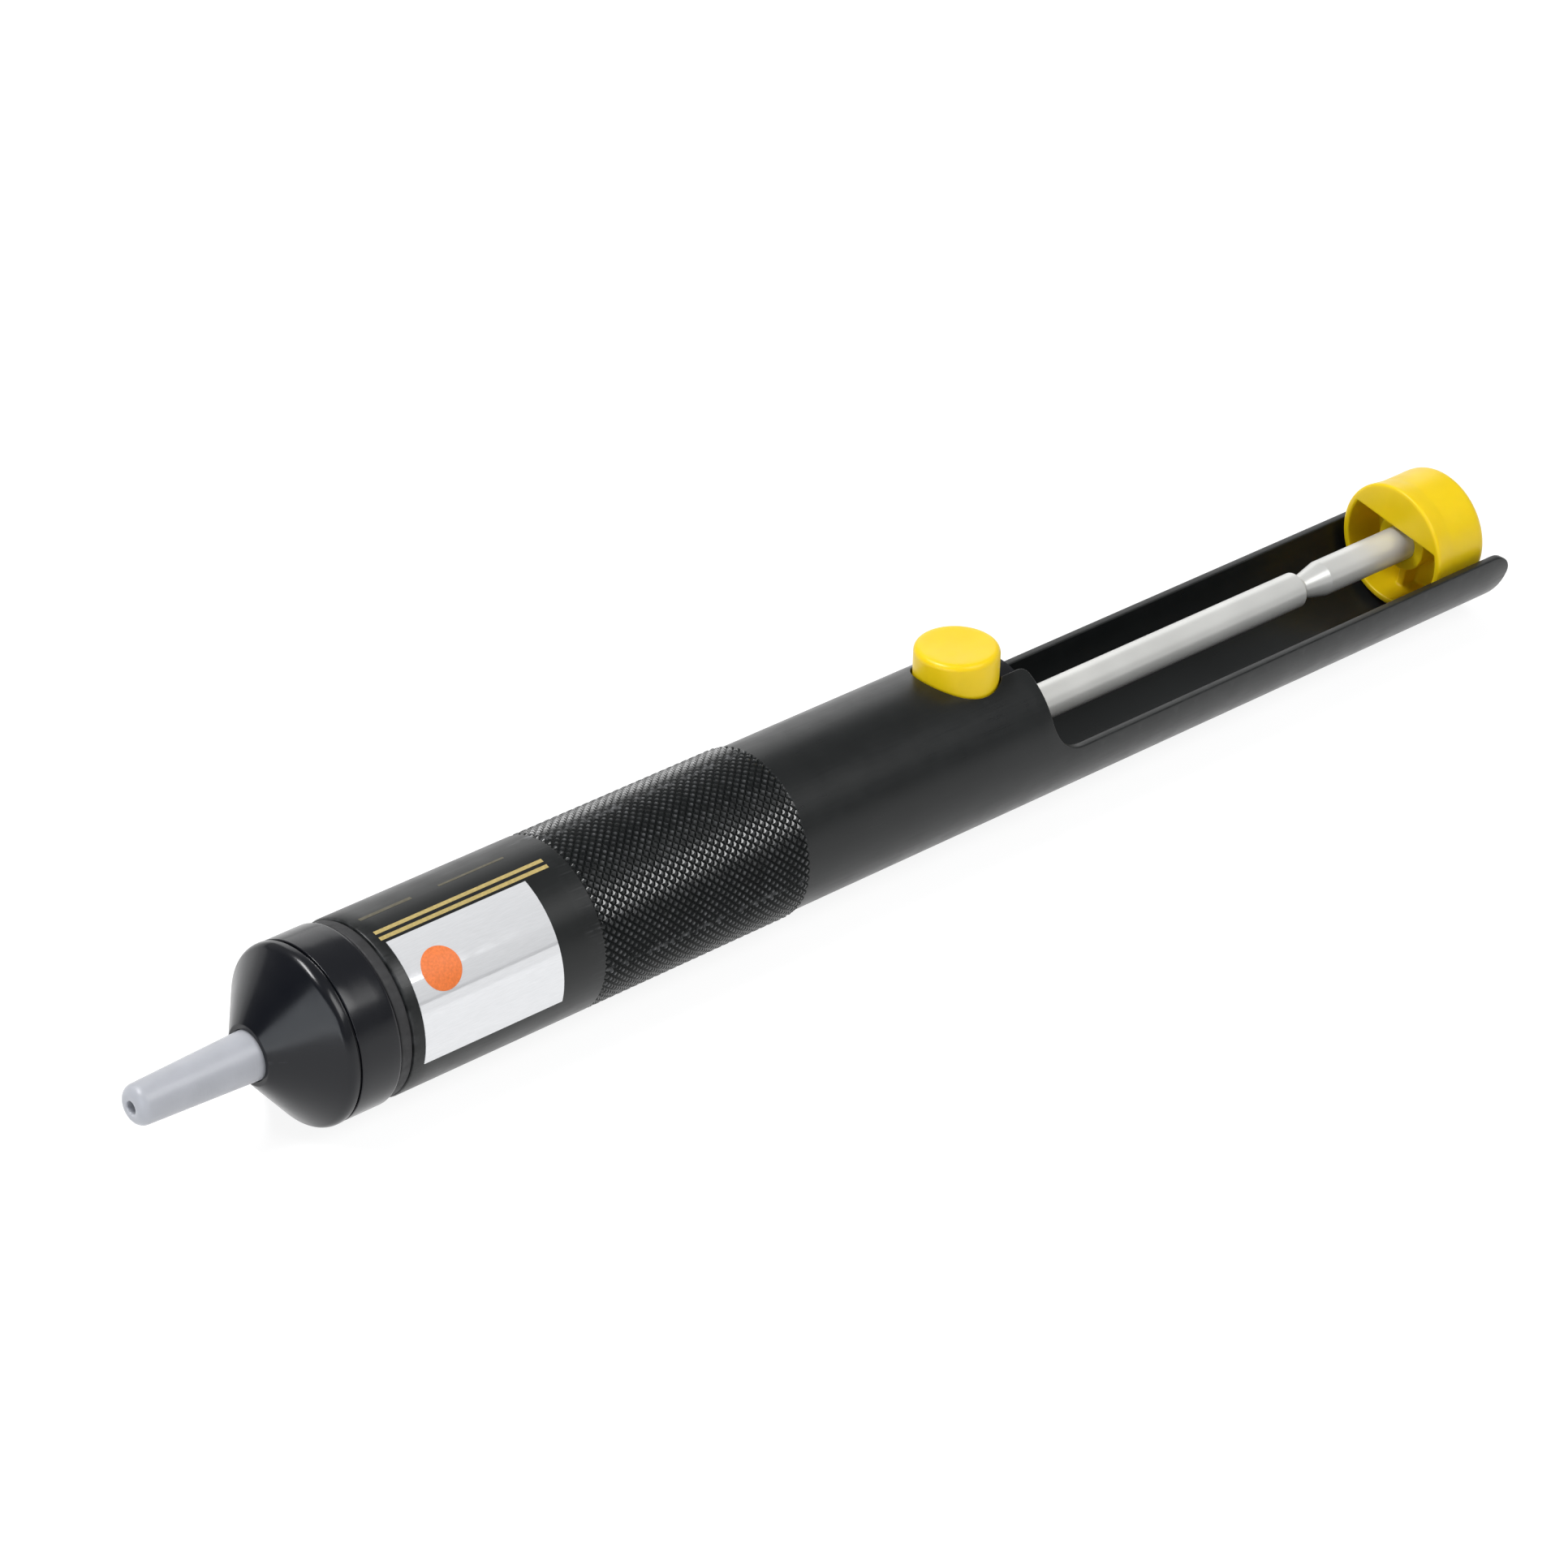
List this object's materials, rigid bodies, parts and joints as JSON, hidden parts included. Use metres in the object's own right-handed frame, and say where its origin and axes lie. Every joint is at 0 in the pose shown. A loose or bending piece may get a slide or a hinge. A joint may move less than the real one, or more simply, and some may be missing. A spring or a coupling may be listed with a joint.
{
  "type": "desoldering pump",
  "caption": "Hand-held spring-loaded desoldering pump with a tapered nozzle, knurled barrel, side-open trough, thumb plunger and top release button.",
  "frame": {"origin": "centre of the nozzle's mouth, on the barrel's axis", "axes": "+X along the barrel from the nozzle to the thumb knob, +Z through the release button, which is up as the pump lies; the label faces -Y"},
  "size_m": [0.201, 0.021, 0.0233],
  "materials": {
    "nozzle_plastic": "translucent white PTFE, satin",
    "black_plastic": "moulded, semi-gloss black",
    "black_aluminium": "black anodised, satin",
    "black_rubber": "matt black",
    "bright_steel": "bright plated",
    "brass_nut": "machined",
    "piston_plastic": "natural acetal",
    "yellow_plastic": "moulded, semi-gloss yellow",
    "label_film": "satin silver film"
  },
  "bodies": {
    "barrel": {"nozzle": "nozzle_plastic", "nozzle_o_ring": "black_rubber", "front_cap": "black_plastic", "cap_o_ring": "black_rubber", "cap_gasket": "black_rubber", "spring_seat": "black_plastic", "barrel_tube": "black_aluminium", "label": "label_film", "main_spring": "bright_steel", "rubber_bumper": "black_rubber", "rod_guide": "black_plastic", "guide_screw": "bright_steel", "latch_spring": "bright_steel"},
    "piston_set": {"piston": "piston_plastic", "piston_o_ring": "black_rubber"},
    "plunger": {"plunger_rod": "bright_steel", "cleaning_pin": "bright_steel", "piston_washer": "bright_steel", "lock_nut": "brass_nut", "thumb_knob": "yellow_plastic"},
    "release": {"release_button": "yellow_plastic", "latch_plate": "bright_steel"}
  },
  "joints": [
    {"name": "plunger_slide", "type": "slide", "parent": "barrel", "child": "piston_set", "axis": [-1, 0, 0], "range_m": [0, 0.0577], "stiffness_N_per_m": 270, "springref_m": -0.025, "deforming": ["main_spring"]},
    {"name": "plunger_spin", "type": "hinge", "parent": "piston_set", "child": "plunger", "pos_m": [0.15, 0, 0], "axis": [1, 0, 0], "continuous": true},
    {"name": "button_press", "type": "slide", "parent": "barrel", "child": "release", "axis": [0, 0, -1], "range_m": [0, 0.0015], "stiffness_N_per_m": 900, "springref_m": -0.001, "deforming": ["latch_spring"]}
  ]
}
